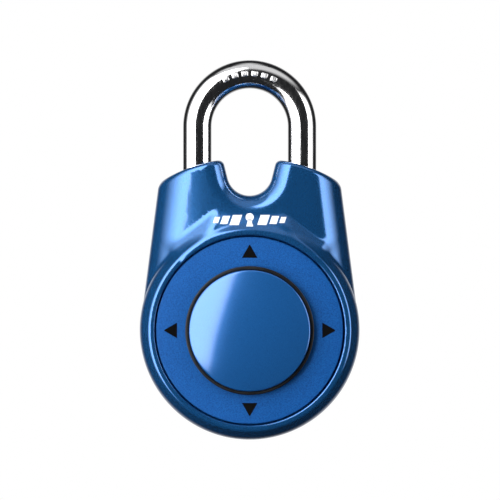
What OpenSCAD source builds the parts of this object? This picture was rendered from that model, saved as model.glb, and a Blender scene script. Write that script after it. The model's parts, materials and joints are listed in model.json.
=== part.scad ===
// Directional combination padlock: a knob that slides up, down, left and right
// turns four code wheels, and the wheels let the latch bolt go.
//
// Every sub-part is drawn flat in a plan frame: x to the right, y up, z towards the
// front, with the dial's centre at the origin and the shackle's centre plane at z = 0.
// upright() then stands it up, with the front facing -Y and the inside of the
// shackle's crown, where the lock hangs, at the origin.

/* [Body] */
// Radius of the round lower body, the drum
drum_r = 27.5; // [27:0.1:29]
// Inward lean of the straight sides above the drum, in degrees
side_lean = 7.4; // [6.5:0.1:8]
// Thickness of the cast body's drum wall
wall = 2.3; // [2:0.1:2.6]
// Front of the upper body, measured from the shackle's centre plane
body_front = 8.7; // [8.5:0.1:9]
// Height of the dial's rim above the upper body's front
rim_rise = 2.8; // [2.5:0.1:3]
// Back of the cover, measured from the shackle's centre plane
back_depth = 9.7; // [9.5:0.1:11]

/* [Shackle] */
// Diameter of the shackle's rod
rod_d = 7.14; // [6.6:0.01:7.2]
// Distance between the two legs' centre lines
leg_spacing = 26.4; // [26:0.1:26.8]
// Height of the crown's centre above the dial's centre
crown_y = 51; // [49:0.5:60]
// How far the shackle lifts to open
lift = 13; // [12:0.5:13]
// How far the shackle is pushed in to clear the code
squeeze = 2.5; // [2:0.1:2.5]

/* [Dial] */
// Radius of the dial's face plate
face_r = 23.2; // [22.5:0.1:23.2]
// Radius of the knob's domed cap
cap_r = 15; // [14:0.1:15.2]
// Rise of the cap's dome
dome_rise = 2.4; // [1.5:0.1:3]
// How far the knob slides each way from its centre
knob_travel = 3.5; // [3:0.1:3.5]

/* [Code wheels] */
// Distance from the dial's centre to each wheel's post
wheel_offset = 14; // [14:0.1:14.2]
// Number of positions of each wheel
positions = 12; // [10:1:14]
// Tip radius of a wheel's ratchet teeth
ratchet_r = 6.6; // [6:0.1:6.6]
// Radius of a gate disc
gate_r = 6; // [5.5:0.1:6]

/* [Hidden] */
$fn = 96;

// Clearances
slack = 0.25;
running = 0.05;

// Body: the outline's arcs, and the layers from front to back
rod_r = rod_d / 2;
leg_x = leg_spacing / 2;
leg_bore_r = rod_r + 0.15;
hang_y = crown_y + leg_x - rod_r;
seam = -6;
rim_front = body_front + rim_rise;
rim_round = 3;
cavity_r = drum_r - wall;
top_arc_c = [0, -2.35];
top_arc_r = 45.4;
shoulder_r = 1.2;
notch_c = [0, 39.27];
notch_r = 5.7;
notch_flare = 14;
side_round = 8;
notch_round = 5;
top_round = 1.3;
cover_round = 1.5;
tuck = 0.04;
lofted_sides_y = drum_r * sin(side_lean);

// Dial and knob levels
face_recess_r = face_r + 0.4;
face_back = 9.9;
face_front = 11;
ledge_r = 21.5;
ledge_back = 8.4;
face_hole_r = 9.6;
ring_r = cap_r + 0.95;
ring_back = face_front + 0.2;
cap_back = ring_back + 1;
lip_front = cap_back + 0.7;
cap_edge = cap_back + 1.9;
cap_front = cap_edge + dome_rise;
dome_r = (cap_r * cap_r + dome_rise * dome_rise) / (2 * dome_rise);
cap_wall = 1.6;
shield_r = 15;
shield_back = 9;
shield_front = 9.6;
stem_r = 3;
stem_top_r = 4;
stem_top = cap_back + 1;
screw_r = 1;
screw_head_r = 2.2;

// Slide plates behind the dial
guide_back = 7.2;
guide_front = ledge_back;
window = stem_r + knob_travel + 0.3;
slot_half = stem_r + knob_travel + 0.1;
slot_side = stem_r + 0.1;
strip_half = 7.7;
strip_reach = 17;
across_back = 5.35;
across_front = 6.95;
upward_back = 3.5;
upward_front = 5.1;
guide_post = 2.35;
washer_r = 4.6;
washer_back = 2.6;
stem_end = upward_back - slack;
screw_head_back = 1.75;
pawl_width = 2.4;
pawl_back = -0.8;

// Code wheels, from the post's clip down to the rear plate
clip_front = 1.75;
clip_back = 1.35;
ratchet_front = 1.2;
gate_front = -1;
gate_back = -2.9;
post_shoulder = -3.05;
post_r = 1.5;
post_foot_r = 2.2;
post_front = 1.9;
frame_front = -4.7;
frame_back = -5.7;
rear_front = -6.1;
rear_back = -7.2;
rear_r = 24.7;
tooth_depth = 0.8;
gate_depth = 2;
gate_half = 1.1;
false_gate_depth = 0.5;
release_travel = 1.8;
finger_half = 0.8;
finger_gap = 0.35;
wheel_angles = [90, 0, 270, 180];

// Latch bolt, its pocket and the toe's notch
toe_y = 29;
heel_y = 15;
latch_low = 25.5;
latch_high = 29.5;
latch_half = 1.2;
latch_left = -3;
latch_right = 7.9;
pocket_left = -9;
pocket_right = 10.4;
pocket_front = 1.5;
finger_left = 6;
finger_high = 32.8;
nose_low = 30.7;
nose_right = 9.3;
latch_travel = 1.6;
toe_notch_low = 30.4;
toe_notch_high = 35.4;
toe_notch_floor = 11.6;
tail_left = 4;
tail_right = 6;
tail_low = 20.8;
tail_back = -5.5;

// Heel: its boss in the cavity, its spring, and the pin that keeps it in
boss_left = -18.6;
boss_right = -8;
boss_floor = heel_y - squeeze - 0.3;
boss_low = boss_floor - 1.6;
boss_front = 6.4;
heel_pin_r = 1;
heel_pin_y = 32;
heel_pin_x = -(leg_x - rod_r);
heel_pin_front = 3;
heel_groove_x = heel_pin_x - heel_pin_r - 0.32;
spring_bore_r = 1.6;
spring_bore_top = 23;

// Rivets that hold the cover, the rear plate and the body together
rivet_r = 1.25;
rivet_head_r = 2.2;
rivet_head = 0.8;
rivet_tip = 1;
rivet_boss_r = 3;
rivet_boss_at = 22.5;
rivet_spots = concat(
    [for (a = [45, 225, 315]) rivet_boss_at * [cos(a), sin(a)]],
    [for (side = [-1, 1]) [side * 19.3, 31.5]]);

// Reset lever in the cover's back
lever_travel = 4;
lever_half = 2.5;
lever_low = -4;
lever_high = 0;
lever_front = rear_back - 0.2;
lever_back = lever_front - 0.7;
lever_face = 0.3 - back_depth;
cover_inner = lever_back - slack;

function wheel_name(i) = ["up", "right", "down", "left"][i];
function wheel_at(i) = wheel_offset * [cos(wheel_angles[i]), sin(wheel_angles[i])];
function polar(c, r, a) = c + r * [cos(a), sin(a)];
function arc(c, r, from, to, steps) =
    [for (k = [0:steps]) polar(c, r, from + (to - from) * k / steps)];
function mirrored(points) =
    concat(points, [for (k = [len(points) - 2:-1:0]) [-points[k].x, points[k].y]]);

// Inset of an edge rounded with radius r, at depth z under a front face at top
function edge_inset(r, z, top) =
    let (rise = z - (top - r)) rise <= 0 ? 0 : r - sqrt(max(r * r - rise * rise, 0));

// Right half of the upper body's outline without its notch, from the side's foot over
// the shoulder to the middle of the top. Each inset moves that edge inwards.
function half_crest(side_in, top_in) =
    let (
        side = [cos(side_lean), sin(side_lean)],
        side_at = drum_r - tuck - side_in,
        crest_r = top_arc_r - top_in,
        reach = crest_r - shoulder_r,
        shoulder_a = side_lean + acos((side_at - shoulder_r - side * top_arc_c) / reach),
        step = (90 - shoulder_a) / 10
    )
    concat(
        [[(side_at - lofted_sides_y * side.y) / side.x, lofted_sides_y]],
        arc(polar(top_arc_c, reach, shoulder_a), shoulder_r, side_lean, shoulder_a, 4),
        arc(top_arc_c, crest_r, shoulder_a + step, 90, 9));

// Left half of the notch's outline, from above the crest down to the middle
function half_notch(inset) =
    let (
        r = notch_r + inset,
        flank_a = 180 + notch_flare,
        above = 12 * [-sin(notch_flare), cos(notch_flare)]
    )
    concat([polar(notch_c, r, flank_a) + above], arc(notch_c, r, flank_a, 270, 9));

function flat_ring(points, z) = [for (p = points) [p.x, p.y, z]];

// Stands a plan-frame shape upright and moves the hanging point to the origin
module upright() {
    translate([0, 0, -hang_y]) rotate([90, 0, 0]) children();
}

// A solid through rings that all have the same number of points
module loft(rings) {
    count = len(rings[0]);
    last = len(rings) - 1;
    points = [for (ring = rings) each ring];
    walls = [for (i = [0:last - 1], k = [0:count - 1])
        let (a = i * count + k, b = i * count + (k + 1) % count)
        each [[a, a + count, b], [b, a + count, b + count]]];
    floor_face = [for (k = [0:count - 1]) k];
    roof_face = [for (k = [count - 1:-1:0]) last * count + k];
    polyhedron(points, concat([floor_face], walls, [roof_face]));
}

// A disc, with its centre at p in the plan frame, between two depths
module disc(r, back, front, p = [0, 0]) {
    translate([p.x, p.y, back]) cylinder(r = r, h = front - back);
}

// A box from two opposite corners
module block(low, high) {
    translate(low) cube(high - low);
}

// A round bar along the plan frame's y axis
module upright_rod(r, x, low, high) {
    translate([x, low, 0]) rotate([-90, 0, 0]) cylinder(r = r, h = high - low);
}

// A compression spring along z, standing on z = 0
module coil(r, wire, length, turns) {
    sides = 6;
    per_turn = 12;
    rings = [for (i = [0:turns * per_turn])
        let (turn = 360 * i / per_turn, z = wire + (length - 2 * wire) * i / (turns * per_turn))
        [for (k = [0:sides - 1])
            let (a = 360 * k / sides, reach = r + wire * cos(a))
            [reach * cos(turn), reach * sin(turn), z + wire * sin(a)]]];
    loft(rings);
}

/* Body */

// A drum with a quarter round at its front edge
module rounded_drum(back, front, round) {
    rotate_extrude() {
        translate([0, back]) square([drum_r, front - round - back]);
        translate([0, back]) square([drum_r - round, front - back]);
        intersection() {
            translate([drum_r - round, front - round]) circle(round);
            translate([drum_r - round - 0.2, front - round - 0.2]) square(round + 1);
        }
    }
}

// Keeps what lies between two depths, so that joined shapes end on one flat face
module trim(back, front) {
    reach = 3 * drum_r;
    intersection() {
        children();
        block([-reach, -reach, back], [reach, reach, front]);
    }
}

// The upper body between two depths, with its sides, top edge and notch rounded
// towards the front. The notch's cutter ends a little in front of it.
module upper_body(low, front, side_edge, top_edge, notch_edge, steps) {
    function depths(low, r, top) =
        concat([low], [for (k = [0:steps]) top - r + r * sin(90 * k / steps)], [top + 1]);
    over = front + 0.01;
    body_depths = [for (z = depths(low, side_edge, front)) if (z <= front) z];
    difference() {
        loft([for (z = body_depths) flat_ring(mirrored(
            half_crest(edge_inset(side_edge, z, front), edge_inset(top_edge, z, front))), z)]);
        loft([for (z = depths(low - 1, notch_edge, over))
            flat_ring(mirrored(half_notch(edge_inset(notch_edge, z, over))), z)]);
    }
}

// Round lower body with a rolled rim round the dial
module drum() {
    rounded_drum(seam - 2, rim_front, rim_round);
}

// Wedge that carries the rim's height up towards the notch. Its slope runs on a
// little below the body's front, so that the two faces cross cleanly.
module ramp() {
    foot_y = 20;
    crest_y = 26.5;
    end_y = 32.2;
    intersection() {
        linear_extrude(rim_front)
            polygon([[-19, foot_y], [19, foot_y], [7.3, end_y], [-7.3, end_y]]);
        rotate([90, 0, 90]) translate([0, 0, -drum_r]) linear_extrude(2 * drum_r)
            polygon([[foot_y, 0], [foot_y, rim_front - 1], [crest_y, rim_front - 1],
                     [end_y, body_front - 0.2], [end_y, 0]]);
    }
}

// Blind holes for the rivets
module rivet_holes(front, back) {
    for (p = rivet_spots) disc(rivet_r, back, front, p);
}

// The drum's hollow, which leaves bosses for three rivets and for the heel's bore
module cavity() {
    difference() {
        disc(cavity_r, seam - 1, ledge_back);
        for (k = [0:2]) disc(rivet_boss_r, seam - 2, ledge_back + 1, rivet_spots[k]);
        block([boss_left, boss_low, seam - 2], [boss_right, drum_r, boss_front]);
    }
}

module latch_pocket() {
    block([pocket_left, latch_low - 0.3, seam - 1], [pocket_right, latch_high + 0.3, pocket_front]);
    block([finger_left - 0.3, latch_low, seam - 1], [pocket_right, finger_high + 0.3, pocket_front]);
    block([tail_left - 0.5, tail_low, seam - 1], [tail_right + latch_travel + 0.6, latch_low, -0.9]);
}

module front_shell() {
    color("royalblue") difference() {
        trim(seam, rim_front) {
            union() {
                upper_body(seam - 1, body_front, side_round, top_round, notch_round, 8);
                drum();
                ramp();
            }
        }
        cavity();
        disc(ledge_r, ledge_back - 1, rim_front + 1);
        disc(face_recess_r, face_back, rim_front + 1);
        upright_rod(leg_bore_r, -leg_x, boss_floor, top_arc_r);
        upright_rod(leg_bore_r, leg_x, toe_y - squeeze - 0.3, top_arc_r);
        latch_pocket();
        disc(heel_pin_r, seam - 1, heel_pin_front, [heel_pin_x, heel_pin_y]);
        rivet_holes(rivet_tip, seam - 1);
    }
}

module back_cover() {
    color("mediumblue") difference() {
        trim(-back_depth, seam) mirror([0, 0, 1]) {
            union() {
                upper_body(-seam - 1, back_depth, cover_round, cover_round, cover_round, 3);
                rounded_drum(-seam - 2, back_depth, cover_round);
            }
        }
        disc(rear_r + slack, cover_inner, seam + 1);
        block([-lever_half - slack, lever_low - slack, -back_depth - 1],
              [lever_half + slack, lever_high + lever_travel + slack, seam]);
        rivet_holes(seam + 1, -back_depth - 1);
        for (p = rivet_spots) disc(rivet_head_r, -back_depth - 1, rivet_head - back_depth, p);
    }
}

module cover_rivets() {
    color("steelblue") for (p = rivet_spots) {
        disc(rivet_r, rivet_head - back_depth, rivet_tip, p);
        disc(rivet_head_r, -back_depth, rivet_head - back_depth, p);
    }
}

/* Shackle */

module leg_tip(x, low) {
    chamfer = 0.8;
    upright_rod(rod_r, x, low + chamfer, crown_y);
    translate([x, low, 0]) rotate([-90, 0, 0])
        cylinder(r1 = rod_r - chamfer, r2 = rod_r, h = chamfer);
}

module shackle() {
    color("gainsboro") difference() {
        union() {
            translate([0, crown_y, 0]) rotate_extrude(angle = 180) translate([leg_x, 0]) circle(rod_r);
            leg_tip(-leg_x, heel_y);
            leg_tip(leg_x, toe_y);
        }
        block([leg_x - rod_d, toe_notch_low, -rod_d], [toe_notch_floor, toe_notch_high, rod_d]);
        block([heel_groove_x, heel_pin_y - lift - heel_pin_r - 0.2, -rod_d],
              [-leg_x + rod_d, heel_pin_y + squeeze + heel_pin_r + 0.2, rod_d]);
        upright_rod(spring_bore_r, -leg_x, heel_y - 1, spring_bore_top);
    }
}

module shackle_spring() {
    color("silver") translate([-leg_x, boss_floor, 0]) rotate([-90, 0, 0])
        coil(spring_bore_r - 0.45, 0.25, spring_bore_top - boss_floor, 7);
}

module heel_pin() {
    color("silver") disc(heel_pin_r, seam, heel_pin_front, [heel_pin_x, heel_pin_y]);
}

/* Latch */

// Bolt whose nose enters the toe's notch, with a tail down to the release frame
module latch_bolt() {
    color("goldenrod") union() {
        block([latch_left, latch_low, -latch_half], [latch_right, latch_high, latch_half]);
        block([finger_left, latch_high - 1, -latch_half], [latch_right, finger_high, latch_half]);
        block([latch_right - 1, nose_low, -latch_half], [nose_right, finger_high, latch_half]);
        block([tail_left, tail_low, tail_back], [tail_right, latch_low + 1.5, -latch_half]);
    }
}

module latch_spring() {
    color("silver") translate([pocket_left, (latch_low + latch_high) / 2, 0]) rotate([0, 90, 0])
        coil(0.95, 0.22, latch_left - pocket_left, 5);
}

// Small plate that shuts the latch's pocket from behind
module latch_keeper() {
    keeper_back = -2.6;
    color("darkgray") block([pocket_left + 0.1, latch_low - 0.2, keeper_back],
                            [tail_left - 0.8, latch_high + 0.2, -pocket_front]);
}

/* Dial and knob */

module face_plate() {
    color("dodgerblue") difference() {
        disc(face_r, face_back, face_front);
        disc(face_hole_r, face_back - 1, face_front + 1);
    }
}

module knob_cap() {
    socket_r = 6;
    color("deepskyblue") difference() {
        intersection() {
            disc(cap_r, cap_back, cap_front + 1);
            translate([0, 0, cap_front - dome_r]) sphere(dome_r, $fn = 200);
        }
        difference() {
            disc(cap_r - cap_wall, cap_back - 1, cap_back + 1.2);
            disc(socket_r, cap_back - 2, cap_front);
        }
        disc(stem_top_r, cap_back - 1, stem_top);
    }
}

module knob_ring() {
    lip = 0.8;
    color("black") difference() {
        disc(ring_r, ring_back, lip_front);
        disc(ring_r - lip, cap_back, lip_front + 1);
        disc(stem_top_r, ring_back - 1, cap_back + 1);
    }
}

module knob_stem() {
    color("darkslategray") difference() {
        union() {
            disc(stem_r, stem_end, shield_front);
            disc(stem_top_r, shield_front, stem_top);
        }
        disc(screw_r, stem_end - 1, stem_top - 2);
    }
}

module dust_shield() {
    color("dimgray") difference() {
        disc(shield_r, shield_back, shield_front);
        disc(stem_r, shield_back - 1, shield_front + 1);
    }
}

module stem_washer() {
    color("silver") difference() {
        disc(washer_r, washer_back, stem_end);
        disc(screw_r, washer_back - 1, stem_end + 1);
    }
}

module knob_screw() {
    slot = 0.5;
    color("silver") difference() {
        union() {
            disc(screw_head_r, screw_head_back, washer_back);
            disc(screw_r, washer_back, stem_top - 2.5);
        }
        block([-screw_head_r, -slot / 2, screw_head_back - 1],
              [screw_head_r, slot / 2, screw_head_back + 0.4]);
    }
}

/* Slide plates */

// Fixed plate whose four posts guide both carriages
module guide_plate() {
    inner = strip_half + 0.15;
    color("lightsteelblue") union() {
        difference() {
            disc(cavity_r - slack, guide_back, guide_front);
            block([-window, -window, guide_back - 1], [window, window, guide_front + 1]);
            for (k = [0:2])
                disc(rivet_boss_r + slack, guide_back - 1, guide_front + 1, rivet_spots[k]);
        }
        for (sx = [-1, 1], sy = [-1, 1]) {
            low_x = sx > 0 ? inner : -inner - guide_post;
            low_y = sy > 0 ? inner : -inner - guide_post;
            block([low_x, low_y, upward_back], [low_x + guide_post, low_y + guide_post, guide_back]);
        }
    }
}

// Flat strip along x with a cross slot for the stem, drawn between two depths
module slotted_strip(back, front) {
    difference() {
        block([-strip_reach, -strip_half, back], [strip_reach, strip_half, front]);
        block([-slot_side, -slot_half, back - 1], [slot_side, slot_half, front + 1]);
    }
}

// Two pawls that reach back from a strip, one beside each wheel that it turns
module pawls(front) {
    for (side = [-1, 1])
        block([side * wheel_offset - pawl_width / 2, -strip_half, pawl_back],
              [side * wheel_offset + pawl_width / 2, -ratchet_r - 0.2, front]);
}

module across_carriage() {
    color("orange") union() {
        slotted_strip(across_back, across_front);
        pawls(across_back);
    }
}

module upward_carriage() {
    color("gold") rotate([0, 0, 90]) union() {
        slotted_strip(upward_back, upward_front);
        pawls(upward_back);
    }
}

// Spring between one end of a carriage and the drum's wall
module centring_spring(i) {
    depth = i % 2 == 0 ? (upward_back + upward_front) / 2 : (across_back + across_front) / 2;
    gap = 0.3;
    color("silver") rotate([0, 0, wheel_angles[i]])
        translate([strip_reach, 0, depth]) rotate([0, 90, 0])
            coil(0.75, 0.22, cavity_r - strip_reach - gap, 4);
}

/* Code wheels */

module ratchet_wheel(i) {
    step = 360 / positions;
    color("khaki") translate(wheel_at(i)) difference() {
        translate([0, 0, gate_front]) linear_extrude(ratchet_front - gate_front)
            polygon([for (k = [0:positions - 1])
                each [ratchet_r * [cos(k * step), sin(k * step)],
                      (ratchet_r - tooth_depth) * [cos(k * step + 2), sin(k * step + 2)]]]);
        disc(post_r + running, gate_front - 1, ratchet_front + 1);
    }
}

module gate_disc(i) {
    color("tan") translate(wheel_at(i)) difference() {
        disc(gate_r, gate_back, gate_front);
        disc(post_r + running, gate_back - 1, gate_front + 1);
        block([gate_r - gate_depth, -gate_half, gate_back - 1],
              [gate_r + 1, gate_half, gate_front + 1]);
        for (k = [2:positions - 2]) rotate([0, 0, 360 * k / positions])
            block([gate_r - false_gate_depth, -gate_half / 2, gate_back - 1],
                  [gate_r + 1, gate_half / 2, gate_front + 1]);
    }
}

module wheel_posts() {
    color("lightgray") for (i = [0:3]) {
        disc(post_foot_r, rear_back, post_shoulder, wheel_at(i));
        disc(post_r, post_shoulder, post_front, wheel_at(i));
    }
}

module wheel_clips() {
    color("silver") for (i = [0:3]) difference() {
        disc(post_r + 0.9, clip_back, clip_front, wheel_at(i));
        disc(post_r, clip_back - 1, clip_front + 1, wheel_at(i));
    }
}

// Sliding frame whose four fingers drop into the wheels' gates
module release_frame() {
    arm = 4.2;
    top = 22.2;
    cheek_right = 11.4;
    hook_left = tail_left - 0.2;
    hook_right = tail_right + latch_travel + release_travel + 0.2;
    finger_from = gate_r + finger_gap;
    finger_to = finger_from + 1.8;
    color("peru") difference() {
        union() {
            block([-wheel_offset - arm, -arm, frame_back],
                  [wheel_offset + finger_to, arm, frame_front]);
            block([-arm, -wheel_offset - arm, frame_back], [finger_to, top, frame_front]);
            block([0, wheel_offset, frame_back], [cheek_right, top, frame_front]);
            for (i = [0:3]) translate(wheel_at(i))
                block([finger_from, -finger_half, frame_front], [finger_to, finger_half, gate_front - 0.5]);
        }
        for (i = [0:3]) translate(wheel_at(i))
            block([-post_foot_r - 0.4, -post_foot_r - 0.4, frame_back - 1],
                  [post_foot_r + release_travel + 0.4, post_foot_r + 0.4, frame_front + 1]);
        block([hook_left, tail_low - 0.4, frame_back - 1], [hook_right, top + 1, frame_front + 1]);
    }
}

module rear_plate() {
    color("slategray") difference() {
        disc(rear_r, rear_back, rear_front);
        for (i = [0:3]) disc(post_foot_r, rear_back - 1, rear_front + 1, wheel_at(i));
        for (k = [0:2]) disc(rivet_r, rear_back - 1, rear_front + 1, rivet_spots[k]);
    }
}

// Slide at the back that frees the code for changing
module reset_lever() {
    ribs = 3;
    rib = 0.6;
    color("crimson") difference() {
        union() {
            block([-6, lever_low - 3, lever_back], [6, lever_high + 3, lever_front]);
            block([-lever_half, lever_low, lever_face], [lever_half, lever_high, lever_back]);
        }
        for (k = [1:ribs])
            block([-lever_half - 1, lever_low + k - rib / 2, lever_face - 1],
                  [lever_half + 1, lever_low + k + rib / 2 - 0.1, lever_face + 0.3]);
    }
}

upright() front_shell();
upright() back_cover();
upright() shackle();
upright() shackle_spring();
upright() heel_pin();
upright() latch_bolt();
upright() latch_spring();
upright() latch_keeper();
upright() face_plate();
upright() knob_cap();
upright() knob_ring();
upright() knob_stem();
upright() dust_shield();
upright() stem_washer();
upright() knob_screw();
upright() guide_plate();
upright() across_carriage();
upright() upward_carriage();
for (i = [0:3]) {
    upright() centring_spring(i);
    upright() ratchet_wheel(i);
    upright() gate_disc(i);
}
upright() wheel_posts();
upright() wheel_clips();
upright() release_frame();
upright() rear_plate();
upright() reset_lever();
upright() cover_rivets();
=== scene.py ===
"""Looks of the directional padlock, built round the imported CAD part.

Shapes are worked out in the plan frame of the CAD source: millimetres, x to the right,
y up and d towards the front, with the dial's centre at the origin. to_row() turns them
into the shared frame in metres. Cast and turned shapes with soft edges are distance
fields that become meshes; round parts are lathed profiles.
"""

import json
import math

import bpy
import numpy as np
import openvdb
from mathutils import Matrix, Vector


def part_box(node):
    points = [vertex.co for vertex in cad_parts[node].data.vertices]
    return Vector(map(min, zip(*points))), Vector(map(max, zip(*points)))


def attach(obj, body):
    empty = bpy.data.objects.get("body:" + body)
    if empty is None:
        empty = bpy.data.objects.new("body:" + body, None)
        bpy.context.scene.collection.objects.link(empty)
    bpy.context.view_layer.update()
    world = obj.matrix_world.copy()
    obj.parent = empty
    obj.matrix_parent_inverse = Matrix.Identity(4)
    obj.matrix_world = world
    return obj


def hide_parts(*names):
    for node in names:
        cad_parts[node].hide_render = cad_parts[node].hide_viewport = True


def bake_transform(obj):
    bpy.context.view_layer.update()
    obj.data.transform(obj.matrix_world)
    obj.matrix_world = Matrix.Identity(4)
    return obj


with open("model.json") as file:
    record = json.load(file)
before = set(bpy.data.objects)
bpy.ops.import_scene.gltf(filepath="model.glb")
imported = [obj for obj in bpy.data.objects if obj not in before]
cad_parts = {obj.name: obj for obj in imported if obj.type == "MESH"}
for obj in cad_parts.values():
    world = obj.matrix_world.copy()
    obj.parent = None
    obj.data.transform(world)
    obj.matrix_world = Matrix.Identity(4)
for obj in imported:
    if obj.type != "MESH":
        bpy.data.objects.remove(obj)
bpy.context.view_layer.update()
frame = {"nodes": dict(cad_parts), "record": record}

MM = 0.001
HANG_Y = 60.63

# Body
DRUM_R = 27.5
SIDE_LEAN = math.radians(7.4)
SIDE_ROUND = 8
BODY_FRONT = 8.7
FRONT_CROWN_R = 115.0
CROWN_RISE = 0.5
SEAM = -6.0
SEAM_ROUND = 0.3
BACK = -9.7
COVER_INNER = -8.35
COVER_HOLLOW_R = 24.95
COVER_ROUND = 1.5
CAVITY_R = 25.2

# Rim of the drum
RIM_FRONT = 11.5
RIM_CREST_R = 24.5
RIM_CREST_HALF = 0.8
RIM_ROUND = 0.45
RIM_BLEND = 1.1
DRUM_TILT = math.radians(60)
DRUM_ROUND = 1.2

# Ramp above the dial. Its two creases run from low outside to high inside, mirrored in x.
CREASE_LOW = (18.0, 21.5)
CREASE_HIGH = (10.4, 29.0)
CREASE_FRONT = 8.4
BEVEL_TILT = math.radians(38)
RAMP_FOOT_Y = 30.2
RAMP_TILT = math.radians(24)
RAMP_REACH = 22
RAMP_LOW_Y = 14

# Crest and notch
TOP_ARC_Y = -2.35
TOP_ARC_R = 45.4
TOP_ROUND = 1.3
NOTCH_Y = 39.27
NOTCH_R = 5.7
NOTCH_FLARE = math.radians(14)
NOTCH_ROUND = 5

# Dial and knob
RECESS_R = 23.6
RECESS_ROUND = 0.35
FACE_R = 23.2
FACE_BACK = 9.9
FACE_FRONT = 11.0
FACE_HOLE_R = 9.6
LEDGE_R = 21.5
LEDGE_BACK = 8.4
CAP_R = 15.0
CAP_BACK = 12.2
CAP_EDGE = 14.1
CAP_FRONT = 16.5
RING_R = 15.95
RING_BACK = 11.2
LIP_FRONT = 12.9
STEM_TOP_R = 4.0

# Boxes cut out of the shell and cover, and the boss for the heel, each as two opposite corners
FAR_BACK = -20
HEEL_BOSS = ((-18.6, 10.6, FAR_BACK), (-8, DRUM_R, 6.4))
LATCH_POCKET = ((-9, 25.2, FAR_BACK), (10.4, 29.8, 1.5))
NOSE_POCKET = ((5.7, 25.5, FAR_BACK), (10.4, 33.1, 1.5))
RESET_WINDOW = ((-2.75, -4.25, FAR_BACK), (2.75, 4.25, 0))
WINDOW_ROUND = 0.2

# Shackle
ROD_R = 3.57
LEG_X = 13.2
CROWN_Y = 51.0
TOE_Y = 29.0
HEEL_Y = 15.0
BORE_R = ROD_R + 0.15
BORE_BELOW_TIP = 2.8
BORE_ROUND = 0.45
TIP_CHAMFER = 0.8
TOE_NOTCH = ((LEG_X - 8, 30.4, -8), (11.6, 35.4, 8))
HEEL_GROOVE = ((-10.95, 17.8, -8), (-LEG_X + 8, 35.7, 8))
CUT_ROUND = 0.25
SPRING_BORE_R = 1.6
SPRING_BORE_TOP = 23

# Rivets: three round the drum and one in each shoulder
RIVETS = [(22.5 * math.cos(math.radians(a)), 22.5 * math.sin(math.radians(a))) for a in (45, 225, 315)]
RIVETS += [(-19.3, 31.5), (19.3, 31.5)]
RIVET_HEAD_R = 2.2
RIVET_SEAT_DEPTH = 0.8
RIVET_SEAT_ROUND = 0.2
RIVET_SINK = 0.28
RIVET_DOME = 0.42
RIVET_HOLE_R = 1.25
RIVET_HOLE_FRONT = 1
RIVET_BOSS_R = 3


# ---------------------------------------------------------------- distance fields


def rounded_max(a, b, r):
    """Intersection of two distances, with its outer edge rounded to radius r."""
    return np.minimum(np.maximum(a, b), -r) + np.hypot(np.maximum(a + r, 0), np.maximum(b + r, 0))


def smooth_min(a, b, k):
    """Union of two distances, blended over a width k."""
    h = np.clip(0.5 + 0.5 * (b - a) / k, 0, 1)
    return b + (a - b) * h - k * h * (1 - h)


def smooth_max(a, b, k):
    return -smooth_min(-a, -b, k)


def smooth_step(low, high, value):
    t = np.clip((value - low) / (high - low), 0, 1)
    return t * t * (3 - 2 * t)


def box_distance(x, y, d, low, high):
    """Distance to a box given by two opposite corners."""
    sides = [np.maximum(lo - v, v - hi) for v, lo, hi in zip((x, y, d), low, high)]
    return np.maximum(np.maximum(sides[0], sides[1]), sides[2])


def side_distance(x, y):
    """Drum's circle below, and its leaning tangent lines above."""
    across = np.abs(x)
    lean = math.cos(SIDE_LEAN) * across + math.sin(SIDE_LEAN) * y
    along = math.cos(SIDE_LEAN) * y - math.sin(SIDE_LEAN) * across
    return np.where(along > 0, lean, np.hypot(across, y)) - DRUM_R


def notch_distance(x, y):
    """Distance into the metal from the notch's edge."""
    across, up = np.abs(x), y - NOTCH_Y
    flank = math.cos(NOTCH_FLARE) * across - math.sin(NOTCH_FLARE) * up
    along = math.sin(NOTCH_FLARE) * across + math.cos(NOTCH_FLARE) * up
    return np.where(along > 0, flank, np.hypot(across, up)) - NOTCH_R


def top_distance(x, y):
    """Wide arc of the crest."""
    return np.hypot(x, y - TOP_ARC_Y) - TOP_ARC_R


def ramp_distance(x, y, d):
    """Wedge from the rim to the notch: bevelled along two slanting creases, and falling to the front."""
    (low_x, low_y), (high_x, high_y) = CREASE_LOW, CREASE_HIGH
    crease = math.atan2(low_x - high_x, high_y - low_y)
    outward = math.cos(crease) * (np.abs(x) - low_x) + math.sin(crease) * (y - low_y)
    corner = smooth_max(outward, 1.5 * (np.abs(x) - low_x - 1), 1.5)
    bevel = math.sin(BEVEL_TILT) * corner + math.cos(BEVEL_TILT) * (d - CREASE_FRONT)
    slope = math.sin(RAMP_TILT) * (y - RAMP_FOOT_Y) + math.cos(RAMP_TILT) * (d - BODY_FRONT)
    top = smooth_max(slope, d - RIM_FRONT + 0.1, 1.2)
    wedge = rounded_max(smooth_max(top, bevel, 0.5), -notch_distance(x, y), 4)
    buried_ends = np.maximum(np.maximum(outward - 3.5, np.abs(x) - RAMP_REACH), RAMP_LOW_Y - y)
    return np.maximum(wedge, buried_ends)


def drum_distance(x, y, d):
    """Round drum whose outside leans in towards a narrow rounded rim."""
    reach = np.hypot(x, y)
    beyond_crest = reach - RIM_CREST_R - RIM_CREST_HALF
    lean = math.sin(DRUM_TILT) * beyond_crest + math.cos(DRUM_TILT) * (d - RIM_FRONT + RIM_ROUND)
    return rounded_max(rounded_max(reach - DRUM_R, lean, DRUM_ROUND), d - RIM_FRONT, RIM_ROUND)


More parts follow.
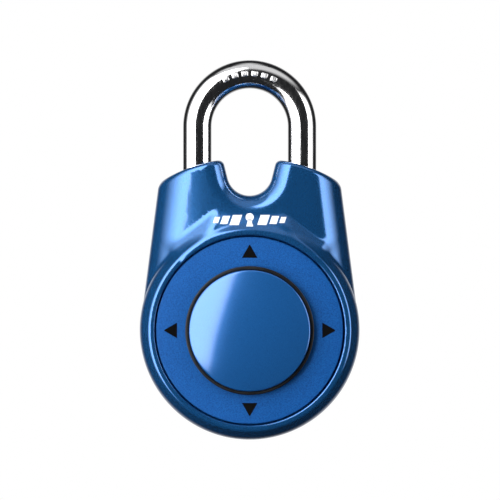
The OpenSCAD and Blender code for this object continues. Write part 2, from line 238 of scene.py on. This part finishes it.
def body_outside(x, y, d):
    """Front shell's outer surface: the teardrop body with its crowned front, the drum and the ramp."""
    front = d - BODY_FRONT - CROWN_RISE + x * x / (2 * FRONT_CROWN_R)
    column = rounded_max(side_distance(x, y), front, SIDE_ROUND)
    column = np.maximum(column, rounded_max(-notch_distance(x, y), front, NOTCH_ROUND))
    upper = rounded_max(column, top_distance(x, y), TOP_ROUND)
    rim = smooth_min(drum_distance(x, y, d), ramp_distance(x, y, d), RIM_BLEND)
    return smooth_min(upper, rim, 0.05 + 0.4 * smooth_step(2.5, 6, d))


def inside_of_shell(x, y, d):
    """Hollow of the drum with its bosses, the latch's pocket and the rivets' holes."""
    hollow = np.maximum(np.hypot(x, y) - CAVITY_R, d - LEDGE_BACK)
    for px, py in RIVETS[:3]:
        hollow = np.maximum(hollow, RIVET_BOSS_R - np.hypot(x - px, y - py))
    hollow = np.maximum(hollow, -box_distance(x, y, d, *HEEL_BOSS))
    hollow = np.minimum(hollow, np.maximum(np.hypot(x, y) - LEDGE_R, d - RIM_FRONT))
    for pocket in (LATCH_POCKET, NOSE_POCKET):
        hollow = np.minimum(hollow, box_distance(x, y, d, *pocket))
    for px, py in RIVETS:
        hole = np.maximum(np.hypot(x - px, y - py) - RIVET_HOLE_R, d - RIVET_HOLE_FRONT)
        hollow = np.minimum(hollow, hole)
    return hollow


def shell_distance(x, y, d):
    """Front shell: its outside less the dial's recess, the shackle's bores and the hollow."""
    shape = rounded_max(body_outside(x, y, d), SEAM - d, SEAM_ROUND)
    recess = np.maximum(np.hypot(x, y) - RECESS_R, FACE_BACK - d)
    shape = rounded_max(shape, -recess, RECESS_ROUND)
    for leg, tip in ((-LEG_X, HEEL_Y), (LEG_X, TOE_Y)):
        bore = np.maximum(np.hypot(x - leg, d) - BORE_R, tip - BORE_BELOW_TIP - y)
        shape = rounded_max(shape, -bore, BORE_ROUND)
    return np.maximum(shape, -inside_of_shell(x, y, d))


def cover_distance(x, y, d):
    """Back cover, with its edge rolled towards the back."""
    upper = np.maximum(side_distance(x, y), -notch_distance(x, y))
    upper = rounded_max(upper, top_distance(x, y), TOP_ROUND)
    outline = np.minimum(upper, np.hypot(x, y) - DRUM_R)
    shape = rounded_max(outline, BACK - d, COVER_ROUND)
    shape = rounded_max(shape, d - SEAM, SEAM_ROUND)
    hollow = np.maximum(np.hypot(x, y) - COVER_HOLLOW_R, COVER_INNER - d)
    window = box_distance(x, y, d, *RESET_WINDOW)
    shape = rounded_max(np.maximum(shape, -hollow), -window, WINDOW_ROUND)
    for px, py in RIVETS:
        reach = np.hypot(x - px, y - py)
        seat = np.maximum(reach - RIVET_HEAD_R - 0.05, d - BACK - RIVET_SEAT_DEPTH)
        shape = rounded_max(shape, -seat, RIVET_SEAT_ROUND)
        shape = np.maximum(shape, RIVET_HOLE_R - reach)
    return shape


def shackle_distance(x, y, d):
    """Bent rod with chamfered ends, the toe's notch, the heel's groove and the spring's bore."""
    crown = np.hypot(np.hypot(x, y - CROWN_Y) - LEG_X, d) - ROD_R
    legs = np.hypot(np.abs(x) - LEG_X, d) - ROD_R
    rod = np.where(y > CROWN_Y, crown, legs)
    low = np.where(x > 0, TOE_Y, HEEL_Y)
    ends = np.maximum(low - y, (low + TIP_CHAMFER - y + legs) / math.sqrt(2))
    rod = np.maximum(rod, np.where(y < CROWN_Y, ends, -10))
    for cut in (TOE_NOTCH, HEEL_GROOVE):
        rod = rounded_max(rod, -box_distance(x, y, d, *cut), CUT_ROUND)
    spring_bore = np.maximum(np.hypot(x + LEG_X, d) - SPRING_BORE_R, y - SPRING_BORE_TOP)
    return np.maximum(rod, -spring_bore)


# ---------------------------------------------------------------- meshes


def to_row(points):
    """Plan frame in millimetres to the shared frame in metres."""
    p = np.asarray(points, float)
    return np.stack([p[:, 0], -p[:, 2], p[:, 1] - HANG_Y], axis=1) * MM


def gradient(distance, p, step=0.02):
    """Direction of steepest growth of a distance at each point."""
    slopes = []
    for axis in range(3):
        shift = np.zeros(3)
        shift[axis] = step
        slopes.append(distance(*(p + shift).T) - distance(*(p - shift).T))
    return np.stack(slopes, axis=1) / (2 * step)


def add_piece(name, points, faces, body, stands_for, material, normals=None):
    """A mesh piece from plan-frame points, riding on a CAD body."""
    mesh = bpy.data.meshes.new(name)
    mesh.from_pydata(to_row(points).tolist(), [], faces)
    mesh.validate()
    mesh.materials.append(material)
    mesh.shade_smooth()
    piece = bpy.data.objects.new(name, mesh)
    bpy.context.scene.collection.objects.link(piece)
    if normals is not None and len(normals) == len(mesh.vertices):
        mesh.normals_split_custom_set_from_vertices(normals.tolist())
    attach(piece, body)
    if stands_for:
        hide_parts(*stands_for)
    return piece


def field_piece(name, distance, low, high, voxel, body, stands_for, material):
    """Mesh of a distance field inside a box, pulled onto the exact surface."""
    axes = [np.arange(lo, hi + voxel, voxel) for lo, hi in zip(low, high)]
    grid_points = np.meshgrid(*axes, indexing="ij", sparse=True)
    values = np.broadcast_to(distance(*grid_points), [len(a) for a in axes])
    field = openvdb.FloatGrid(3 * voxel)
    field.copyFromArray(np.clip(values, -3 * voxel, 3 * voxel).astype(np.float32))
    points, triangles, quads = field.convertToPolygons(isovalue=0.0, adaptivity=0.002)
    p = np.asarray(points, float) * voxel + np.array(low)
    for _ in range(4):
        slope = gradient(distance, p)
        steepness = np.maximum((slope * slope).sum(axis=1), 0.25)
        move = (distance(*p.T) / steepness)[:, None] * slope
        p -= np.clip(move, -0.5 * voxel, 0.5 * voxel)
    slope = gradient(distance, p)
    slope /= np.maximum(np.linalg.norm(slope, axis=1), 1e-6)[:, None]
    normals = np.stack([slope[:, 0], -slope[:, 2], slope[:, 1]], axis=1)
    faces = np.asarray(triangles).tolist() + np.asarray(quads).tolist()
    return add_piece(name, p, faces, body, stands_for, material, normals)


def rounded_profile(corners, steps=5):
    """Polyline of (r, d) through corners (r, d, radius), each rounded to its radius."""
    points = []
    count = len(corners)
    for i, (r, d, radius) in enumerate(corners):
        here = np.array([r, d], float)
        if radius == 0:
            points.append(here)
            continue
        before = np.array(corners[i - 1][:2], float) - here
        after = np.array(corners[(i + 1) % count][:2], float) - here
        before /= np.linalg.norm(before)
        after /= np.linalg.norm(after)
        half = math.acos(np.clip(before @ after, -1, 1)) / 2
        start = here + before * radius / math.tan(half)
        centre = here + (before + after) / np.linalg.norm(before + after) * radius / math.sin(half)
        end = here + after * radius / math.tan(half)
        for k in range(steps + 1):
            t = k / steps
            way = (1 - t) * (start - centre) + t * (end - centre)
            points.append(centre + way / np.linalg.norm(way) * radius)
    return points


def lathe_piece(name, profile, body, stands_for, material, sides=192):
    """Closed profile of (r, d) turned about the dial's axis."""
    count = len(profile)
    points = []
    for k in range(sides):
        a = 2 * math.pi * k / sides
        points += [(r * math.cos(a), r * math.sin(a), d) for r, d in profile]
    faces = []
    for k in range(sides):
        here, there = k * count, (k + 1) % sides * count
        for i in range(count):
            j = (i + 1) % count
            faces.append((here + i, there + i, there + j, here + j))
    piece = add_piece(name, points, faces, body, stands_for, material)
    piece.data.set_sharp_from_angle(angle=math.radians(35))
    return piece


def depth_on(distance, x, y, start):
    """Depth of a surface under plan points, found from in front."""
    d = np.full(len(x), float(start))
    for _ in range(30):
        d -= np.clip(distance(x, y, d), -0.5, 0.5)
    return d


def patch_points(outline, steps):
    """Rows of points that fill a four-cornered plan shape."""
    corners = np.array(outline, float)
    u, v = np.meshgrid(np.linspace(0, 1, steps), np.linspace(0, 1, steps), indexing="ij")
    u, v = u.ravel()[:, None], v.ravel()[:, None]
    low = corners[0] * (1 - u) + corners[1] * u
    high = corners[3] * (1 - u) + corners[2] * u
    return low * (1 - v) + high * v


def grid_faces(rows, columns, first=0):
    """Quads between the points of a grid that was listed row by row."""
    return [
        (first + i * columns + j, first + (i + 1) * columns + j,
         first + (i + 1) * columns + j + 1, first + i * columns + j + 1)
        for i in range(rows - 1) for j in range(columns - 1)
    ]


def disc_points(centre, radius, rings, sides):
    """Rings of plan points that fill a disc, each ring closed."""
    points = []
    for i in range(rings):
        reach = radius * i / (rings - 1)
        for k in range(sides):
            a = 2 * math.pi * k / (sides - 1)
            points.append((centre[0] + reach * math.cos(a), centre[1] + reach * math.sin(a)))
    return np.array(points)


def printed_piece(name, shapes, distance, start, lift, body, material):
    """Thin printed marks laid on a surface. Each shape is (plan points, rows, columns)."""
    points, faces = [], []
    for flat, rows, columns in shapes:
        faces += grid_faces(rows, columns, len(points))
        d = depth_on(distance, flat[:, 0], flat[:, 1], start) + lift
        points += [(x, y, z) for (x, y), z in zip(flat.tolist(), d.tolist())]
    return add_piece(name, points, faces, body, (), material)


# ---------------------------------------------------------------- materials


def new_material(name, **shader):
    """Principled material with constant sockets set on the shader itself."""
    material = bpy.data.materials.new(name)
    material.use_nodes = True
    principled = material.node_tree.nodes["Principled BSDF"]
    for socket, value in shader.items():
        principled.inputs[socket.replace("_", " ")].default_value = value
    return material


def add_node(material, kind, inputs=None, **settings):
    """Adds a node; inputs maps a socket's name or number to a value or another socket."""
    tree = material.node_tree
    node = tree.nodes.new(kind)
    for key, value in settings.items():
        setattr(node, key, value)
    for key, value in (inputs or {}).items():
        if isinstance(value, bpy.types.NodeSocket):
            tree.links.new(value, node.inputs[key])
        else:
            node.inputs[key].default_value = value
    return node


def object_noise(material, scale, detail=3.0, stretch=(1, 1, 1)):
    """Noise in object space, in metres."""
    place = add_node(material, "ShaderNodeTexCoord")
    moved = add_node(material, "ShaderNodeMapping", {"Vector": place.outputs["Object"], "Scale": stretch})
    noise = add_node(material, "ShaderNodeTexNoise",
                     {"Vector": moved.outputs[0], "Scale": scale, "Detail": detail})
    return noise.outputs["Fac"]


def remap(material, value, low, high, from_low=0.3, from_high=0.7):
    """Stretches the middle of a noise's range to run from low to high."""
    inputs = {"Value": value, "From Min": from_low, "From Max": from_high, "To Min": low, "To Max": high}
    return add_node(material, "ShaderNodeMapRange", inputs).outputs["Result"]


def tint(material, value, dark, light):
    """Colour between two tones, chosen by a value from 0 to 1."""
    mix = add_node(material, "ShaderNodeMix", data_type="RGBA")
    material.node_tree.links.new(value, mix.inputs[0])
    mix.inputs[6].default_value = (*dark, 1)
    mix.inputs[7].default_value = (*light, 1)
    return mix.outputs[2]


def into_shader(material, socket, value):
    principled = material.node_tree.nodes["Principled BSDF"]
    material.node_tree.links.new(value, principled.inputs[socket])


def add_bump(material, height, strength, depth):
    """Fine relief of a given depth in metres."""
    bump = add_node(material, "ShaderNodeBump", {"Height": height, "Strength": strength, "Distance": depth})
    into_shader(material, "Normal", bump.outputs[0])


def flake_paint(name, dark, light, metallic, roughness, coat, grain=9000, relief=0.2, shine=0.5):
    """Metallic paint: fine flakes that vary in tone and tilt, under a clear coat."""
    paint = new_material(name, Metallic=metallic, Specular_IOR_Level=shine,
                         Coat_Weight=coat, Coat_Roughness=0.03, Coat_IOR=1.5)
    flakes = object_noise(paint, grain, 1.0)
    haze = object_noise(paint, 90, 2.0)
    into_shader(paint, "Base Color", tint(paint, remap(paint, flakes, 0, 1), dark, light))
    into_shader(paint, "Roughness", remap(paint, haze, roughness - 0.02, roughness + 0.02))
    add_bump(paint, flakes, relief, 0.00002)
    return paint


def grained_plastic(name, dark, light, roughness, grain, depth, shine=0.5):
    """Plastic or ink with a fine grain and uneven gloss."""
    plastic = new_material(name, Metallic=0.0, Specular_IOR_Level=shine)
    fine = object_noise(plastic, grain, 2.0)
    wear = object_noise(plastic, 180, 3.0)
    into_shader(plastic, "Base Color", tint(plastic, remap(plastic, wear, 0, 1), dark, light))
    into_shader(plastic, "Roughness", remap(plastic, wear, roughness - 0.06, roughness + 0.06))
    add_bump(plastic, fine, 0.4, depth)
    return plastic


def brushed_metal(name, dark, light, roughness, stretch):
    """Metal with drawn streaks along one direction."""
    metal = new_material(name, Metallic=1.0)
    streaks = object_noise(metal, 1500, 4.0, stretch)
    stains = object_noise(metal, 150, 3.0)
    into_shader(metal, "Base Color", tint(metal, remap(metal, stains, 0, 1), dark, light))
    into_shader(metal, "Roughness", remap(metal, streaks, roughness - 0.08, roughness + 0.08))
    add_bump(metal, streaks, 0.3, 0.00002)
    return metal


def chrome_plate(name, roughness):
    """Chrome plate with faint polishing haze and hairline scratches."""
    chrome = new_material(name, Metallic=1.0)
    haze = object_noise(chrome, 220, 3.0)
    scratches = object_noise(chrome, 2600, 2.0, (1, 1, 0.12))
    tone = tint(chrome, remap(chrome, haze, 0, 1), (0.86, 0.86, 0.87), (0.92, 0.92, 0.93))
    into_shader(chrome, "Base Color", tone)
    into_shader(chrome, "Roughness", remap(chrome, scratches, roughness, roughness * 1.8))
    add_bump(chrome, scratches, 0.05, 0.00001)
    return chrome


CAST = flake_paint("blue_flake_paint", (0.007, 0.07, 0.225), (0.016, 0.138, 0.39), 0.65, 0.17, 0.8)
MATTE = flake_paint("blue_matte_plate", (0.002, 0.05, 0.21), (0.006, 0.1, 0.36), 0.25, 0.5, 0.0,
                    grain=5500, relief=0.6, shine=0.2)
DOME = flake_paint("blue_gloss_cap", (0.009, 0.082, 0.28), (0.018, 0.145, 0.45), 0.45, 0.2, 0.8,
                   grain=11000, relief=0.1)
CHROME = chrome_plate("chrome_plate", 0.09)
SATIN_CHROME = chrome_plate("satin_chrome", 0.3)
BLACK = grained_plastic("black_moulding", (0.003, 0.003, 0.004), (0.007, 0.007, 0.008), 0.4, 6000, 0.00002,
                        shine=0.3)
GREY = grained_plastic("grey_moulding", (0.2, 0.205, 0.22), (0.27, 0.275, 0.29), 0.45, 5000, 0.00002)
WHITE = grained_plastic("white_moulding", (0.6, 0.59, 0.54), (0.72, 0.71, 0.66), 0.4, 5000, 0.00002)
STEEL = brushed_metal("brushed_steel", (0.42, 0.43, 0.45), (0.58, 0.59, 0.61), 0.34, (0.1, 1, 1))
SPRING = brushed_metal("spring_wire", (0.46, 0.46, 0.48), (0.62, 0.62, 0.64), 0.28, (1, 1, 0.1))
BRASS = brushed_metal("machined_brass", (0.56, 0.38, 0.13), (0.74, 0.55, 0.23), 0.3, (1, 1, 0.15))
BLACK_INK = grained_plastic("black_ink", (0.001, 0.001, 0.001), (0.003, 0.003, 0.003), 0.5, 7000, 0.00001,
                            shine=0.05)
WHITE_INK = grained_plastic("white_ink", (0.72, 0.75, 0.8), (0.84, 0.86, 0.9), 0.4, 7000, 0.00001)

SLOT_MATERIALS = {
    "blue_cast": CAST, "blue_matte": MATTE, "blue_gloss": DOME, "chrome": CHROME, "steel": STEEL,
    "spring_steel": SPRING, "brass": BRASS, "black_plastic": BLACK, "grey_plastic": GREY,
    "white_plastic": WHITE,
}


# ---------------------------------------------------------------- pieces


def dress_cad_nodes():
    """Gives every CAD node its material and softens its edges."""
    slots = {part["node"]: part["material_slot"] for part in frame["record"]["subparts"]}
    for name, node in frame["nodes"].items():
        node.data.materials.clear()
        node.data.materials.append(SLOT_MATERIALS[slots[name]])
        if "spring" not in name:
            bevel = node.modifiers.new("soft_edges", "BEVEL")
            bevel.width = 0.08 * MM
            bevel.segments = 2
            bevel.limit_method = "ANGLE"
            bevel.angle_limit = math.radians(40)
            bevel.harden_normals = True


def make_body():
    voxel = 0.3
    low, high = (-28.2, -28.2, -6.6), (28.2, 44, 12.2)
    field_piece("cast_shell", shell_distance, low, high, voxel,
                "lock_body", ["front_shell"], CAST)
    low, high = (-28.2, -28.2, -10.4), (28.2, 44, -5.4)
    field_piece("rolled_cover", cover_distance, low, high, voxel,
                "lock_body", ["back_cover"], CAST)


def make_shackle():
    voxel = 0.18
    low, high = (-17.4, 14.4, -4.2), (17.4, 68.4, 4.2)
    field_piece("bent_shackle", shackle_distance, low, high, voxel,
                "shackle", ["shackle"], CHROME)


def coil_spring(name, node, wire, turns, along):
    """Wound wire in a CAD spring's place; it stays fixed where the spring sits and follows no body.

    The wire's radius is in millimetres, and along is the number of the spring's axis in the row frame.
    """
    low, high = (np.array(corner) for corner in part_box(node))
    wire_r = wire * MM
    axis, side, other = np.eye(3)[[along, along - 1, (along + 1) % 3]]
    radius = (high - low)[1] / 2 - wire_r
    middle = (low + high) / 2
    half = axis * ((high - low)[along] / 2 - wire_r)
    rings_in_turn, sides = 28, 12
    rings = rings_in_turn * turns
    around = np.linspace(0, 2 * math.pi, sides, endpoint=False)[:, None]
    points = []
    for step in np.linspace(0, 1, rings + 1):
        turn = 2 * math.pi * turns * step
        out = math.cos(turn) * side + math.sin(turn) * other
        heart = middle + half * (2 * step - 1) + out * radius
        points.append(heart + wire_r * (np.cos(around) * out + np.sin(around) * axis))
    faces = [tuple(range(sides))[::-1], tuple(rings * sides + k for k in range(sides))]
    for first in range(0, rings * sides, sides):
        corners = [(first + k, first + (k + 1) % sides) for k in range(sides)]
        faces += [(a, b, b + sides, a + sides) for a, b in corners]
    piece = bpy.data.objects.new(name, bpy.data.meshes.new(name))
    piece.data.from_pydata(np.concatenate(points).tolist(), [], faces)
    piece.data.shade_smooth()
    piece.data.materials.append(SPRING)
    bpy.context.scene.collection.objects.link(piece)
    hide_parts(node)
    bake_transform(piece)


def make_springs():
    along_x, along_z = 0, 2
    coil_spring("heel_spring", "shackle_spring", 0.25, 7, along_z)
    coil_spring("bolt_spring", "latch_spring", 0.22, 5, along_x)
    for way, along, body, moves_low_end in (
        ("up", along_z, "upward", True),
        ("down", along_z, "upward", False),
        ("right", along_x, "across", True),
        ("left", along_x, "across", False),
    ):
        coil_spring(f"return_spring_{way}", f"centring_spring_{way}", 0.22, 4, along)


def make_rivets():
    """Slightly domed rivet heads, sunk in the cover's seats."""
    sides, rings = 40, 8
    points, faces = [], []
    for px, py in RIVETS:
        first = len(points)
        for i in range(rings):
            share = i / (rings - 1)
            reach = RIVET_HEAD_R * math.sin(share * math.pi / 2)
            depth = BACK + RIVET_SINK + RIVET_DOME * (1 - math.cos(share * math.pi / 2))
            for k in range(sides):
                a = -2 * math.pi * k / (sides - 1)
                points.append((px + reach * math.cos(a), py + reach * math.sin(a), depth))
        faces += grid_faces(rings, sides, first)
    add_piece("rivet_heads", points, faces, "lock_body", ["cover_rivets"], CAST)


def make_face_plate():
    """Flat ring with softened edges, set in the drum's recess."""
    profile = rounded_profile([
        (FACE_HOLE_R, FACE_BACK, 0), (FACE_R, FACE_BACK, 0.1),
        (FACE_R, FACE_FRONT, 0.22), (FACE_HOLE_R, FACE_FRONT, 0.15),
    ])
    lathe_piece("dial_face", profile, "lock_body", ["face_plate"], MATTE)


def make_knob():
    """Domed cap, and the ring that it sits in."""
    dome_r = (CAP_R ** 2 + (CAP_FRONT - CAP_EDGE) ** 2) / (2 * (CAP_FRONT - CAP_EDGE))
    edge_r = 0.45
    wall = [(STEM_TOP_R, CAP_BACK), (CAP_R - 0.15, CAP_BACK), (CAP_R, CAP_BACK + 0.15)]
    start = math.asin((CAP_R - edge_r) / dome_r)
    shoulder = [
        (CAP_R - edge_r + edge_r * math.cos(t), CAP_EDGE - edge_r * 0.75 + edge_r * math.sin(t))
        for t in np.linspace(0, math.pi / 2 - start, 7)
    ]
    crown = [
        (dome_r * math.sin(t), CAP_FRONT - dome_r + dome_r * math.cos(t))
        for t in np.linspace(start * 0.995, 0.0002, 28)
    ]
    bottom = [(0.01, CAP_BACK + 1), (STEM_TOP_R, CAP_BACK + 1)]
    lathe_piece("domed_cap", wall + shoulder + crown + bottom, "knob", ["knob_cap"], DOME)
    ring = rounded_profile([
        (STEM_TOP_R, RING_BACK, 0), (RING_R, RING_BACK, 0.15), (RING_R, LIP_FRONT, 0.28),
        (RING_R - 0.8, LIP_FRONT, 0.12), (RING_R - 0.8, CAP_BACK - 0.05, 0),
        (STEM_TOP_R, CAP_BACK - 0.05, 0),
    ])
    lathe_piece("grip_ring", ring, "knob", ["knob_ring"], BLACK)


def make_arrows():
    """Four printed arrowheads, one for each way the knob slides."""
    def face(x, y, d):
        return d - FACE_FRONT
    for turn, name in enumerate(("right", "up", "left", "down")):
        c, s = math.cos(turn * math.pi / 2), math.sin(turn * math.pi / 2)
        corners = [(18.0, -1.95), (21.2, -0.12), (21.2, 0.12), (18.0, 1.95)]
        outline = [(c * u - s * v, s * u + c * v) for u, v in corners]
        shapes = [(patch_points(outline, 6), 6, 6)]
        printed_piece(f"arrow_{name}", shapes, face, 12, 0.015, "lock_body", BLACK_INK)


def make_emblem():
    """Generic printed mark on the ramp: a keyhole with three slanted bars on either side."""
    middle = 27.4
    shapes = [(disc_points((0, middle + 0.7), 1.0, 5, 25), 5, 25)]
    foot = [(-0.35, middle + 0.3), (0.35, middle + 0.3), (0.85, middle - 1.6), (-0.85, middle - 1.6)]
    shapes.append((patch_points(foot, 8), 8, 8))
    for side in (-1, 1):
        for near, far, half in ((2.3, 4.6, 1.25), (5.2, 7.0, 1.0), (7.6, 8.9, 0.75)):
            lean = 0.35 * half
            bar = [(side * near - lean, middle - half), (side * far - lean, middle - half),
                   (side * far + lean, middle + half), (side * near + lean, middle + half)]
            shapes.append((patch_points(bar, 8), 8, 8))
    printed_piece("ramp_emblem", shapes, body_outside, 13, 0.02, "lock_body", WHITE_INK)


def make_crown_marks():
    """Raised generic dashes on the front of the shackle's crown."""
    across, along = 10, 14
    points, faces = [], []
    for centre in np.linspace(-27, 27, 6):
        first = len(points)
        for i in range(along):
            u = 2 * i / (along - 1) - 1
            for j in range(across):
                v = 2 * j / (across - 1) - 1
                turn = math.radians(90 - centre - 3.6 * u)
                tilt = math.radians(11) * v
                reach = ROD_R - 0.04 + 0.2 * (1 - u ** 6) * (1 - v ** 4)
                out = LEG_X + reach * math.sin(tilt)
                points.append((out * math.cos(turn), CROWN_Y + out * math.sin(turn), reach * math.cos(tilt)))
        faces += grid_faces(along, across, first)
    add_piece("crown_marks", points, faces, "shackle", (), SATIN_CHROME)


# ---------------------------------------------------------------- light and camera


def light_card(name, low_row, high_row, radius, strength, fades):
    """Glowing curved card round the lock, which fades over its edges.

    Each row is (elevation, azimuth from, azimuth to) in degrees. Azimuth 0 is the camera's
    side, and positive azimuths lie to the viewer's right. The fades are the shares of the
    card that fade at its first azimuth, its last azimuth, and its low and high edges.
    """
    columns, rows = 48, 24
    points, glow = [], []
    for i in range(columns):
        u = i / (columns - 1)
        for j in range(rows):
            v = j / (rows - 1)
            row = [np.radians((1 - v) * low + v * high) for low, high in zip(low_row, high_row)]
            elevation, start, end = row
            a = (1 - u) * start + u * end
            level_reach = radius * math.cos(elevation)
            points.append((level_reach * math.sin(a), -level_reach * math.cos(a),
                           radius * math.sin(elevation) - 0.04))
            levels = [smooth_step(0, fade, t) for fade, t in zip(fades, (u, 1 - u, min(v, 1 - v)))]
            glow.append(float(np.prod(levels)))
    mesh = bpy.data.meshes.new(name)
    mesh.from_pydata(points, [], grid_faces(columns, rows))
    mesh.attributes.new("glow", "FLOAT", "POINT").data.foreach_set("value", glow)
    material = bpy.data.materials.new(name)
    material.use_nodes = True
    material.node_tree.nodes.clear()
    level = add_node(material, "ShaderNodeAttribute", attribute_name="glow")
    bright = add_node(material, "ShaderNodeMath", {0: level.outputs["Fac"], 1: strength},
                      operation="MULTIPLY")
    emission = add_node(material, "ShaderNodeEmission", {"Strength": bright.outputs[0]})
    add_node(material, "ShaderNodeOutputMaterial", {"Surface": emission.outputs[0]})
    mesh.materials.append(material)
    card = bpy.data.objects.new(name, mesh)
    bpy.context.scene.collection.objects.link(card)
    card.visible_camera = False
    card.visible_shadow = False
    return card


def make_floor():
    """Pale paper floor well below the hanging lock. It glows a little, and the lock doesn't reflect it."""
    floor_mesh = bpy.data.meshes.new("floor")
    half, level = 3.6, -0.45
    corners = [(-half, -half, level), (half, -half, level), (half, half, level), (-half, half, level)]
    floor_mesh.from_pydata(corners, [], [(0, 1, 2, 3)])
    paper = new_material("floor_paper", Emission_Color=(1, 1, 1, 1), Emission_Strength=0.55)
    tone = object_noise(paper, 40, 2.0)
    colour = tint(paper, remap(paper, tone, 0, 1), (0.8, 0.8, 0.8), (0.84, 0.84, 0.84))
    into_shader(paper, "Base Color", colour)
    into_shader(paper, "Roughness", remap(paper, tone, 0.7, 0.8))
    floor_mesh.materials.append(paper)
    floor = bpy.data.objects.new("floor", floor_mesh)
    bpy.context.scene.collection.objects.link(floor)
    floor.visible_glossy = False
    floor.visible_diffuse = False


def make_world():
    """White for the camera, and a dim room for everything that the lock reflects."""
    world = bpy.data.worlds.new("studio")
    world.use_nodes = True
    bpy.context.scene.world = world
    tree = world.node_tree
    tree.nodes.clear()
    path = tree.nodes.new("ShaderNodeLightPath")
    shown = tree.nodes.new("ShaderNodeBackground")
    shown.inputs["Color"].default_value = (1, 1, 1, 1)
    room = tree.nodes.new("ShaderNodeBackground")
    room.inputs["Color"].default_value = (0.5, 0.52, 0.56, 1)
    room.inputs["Strength"].default_value = 0.03
    mix = tree.nodes.new("ShaderNodeMixShader")
    out = tree.nodes.new("ShaderNodeOutputWorld")
    tree.links.new(path.outputs["Is Camera Ray"], mix.inputs[0])
    tree.links.new(room.outputs[0], mix.inputs[1])
    tree.links.new(shown.outputs[0], mix.inputs[2])
    tree.links.new(mix.outputs[0], out.inputs["Surface"])


def make_lights():
    """Two side cards, a dim one overhead, and two behind: one is mirrored faintly, the other only lights."""
    light_card("left_softbox", (-32, -108, -26), (60, -108, 0), 0.6, 6.0, (0.8, 0.05, 0.12))
    light_card("right_softbox", (-26, 54, 104), (38, 50, 104), 0.62, 4.5, (0.06, 0.8, 0.2))
    light_card("top_softbox", (36, -110, 110), (108, -110, 110), 0.64, 0.7, (0.2, 0.2, 0.25))
    light_card("back_sheen", (-45, 138, 222), (50, 138, 222), 0.66, 0.6, (0.3, 0.3, 0.3))
    back = light_card("back_softbox", (-45, 130, 230), (50, 130, 230), 0.68, 3.0, (0.2, 0.2, 0.2))
    back.visible_glossy = False


def make_camera():
    """Square on to the dial from the front, level with the middle of the lock."""
    lens = bpy.data.cameras.new("camera")
    lens.sensor_width = 36
    lens.lens = 200
    camera = bpy.data.objects.new("camera", lens)
    camera.location = (0.00008, -0.7, -0.04069)
    camera.rotation_euler = (math.pi / 2, 0, 0)
    bpy.context.scene.collection.objects.link(camera)
    bpy.context.scene.camera = camera
    bpy.context.scene.view_settings.view_transform = "Standard"


dress_cad_nodes()
make_body()
make_shackle()
make_springs()
make_rivets()
make_face_plate()
make_knob()
make_arrows()
make_emblem()
make_crown_marks()
make_floor()
make_world()
make_lights()
make_camera()
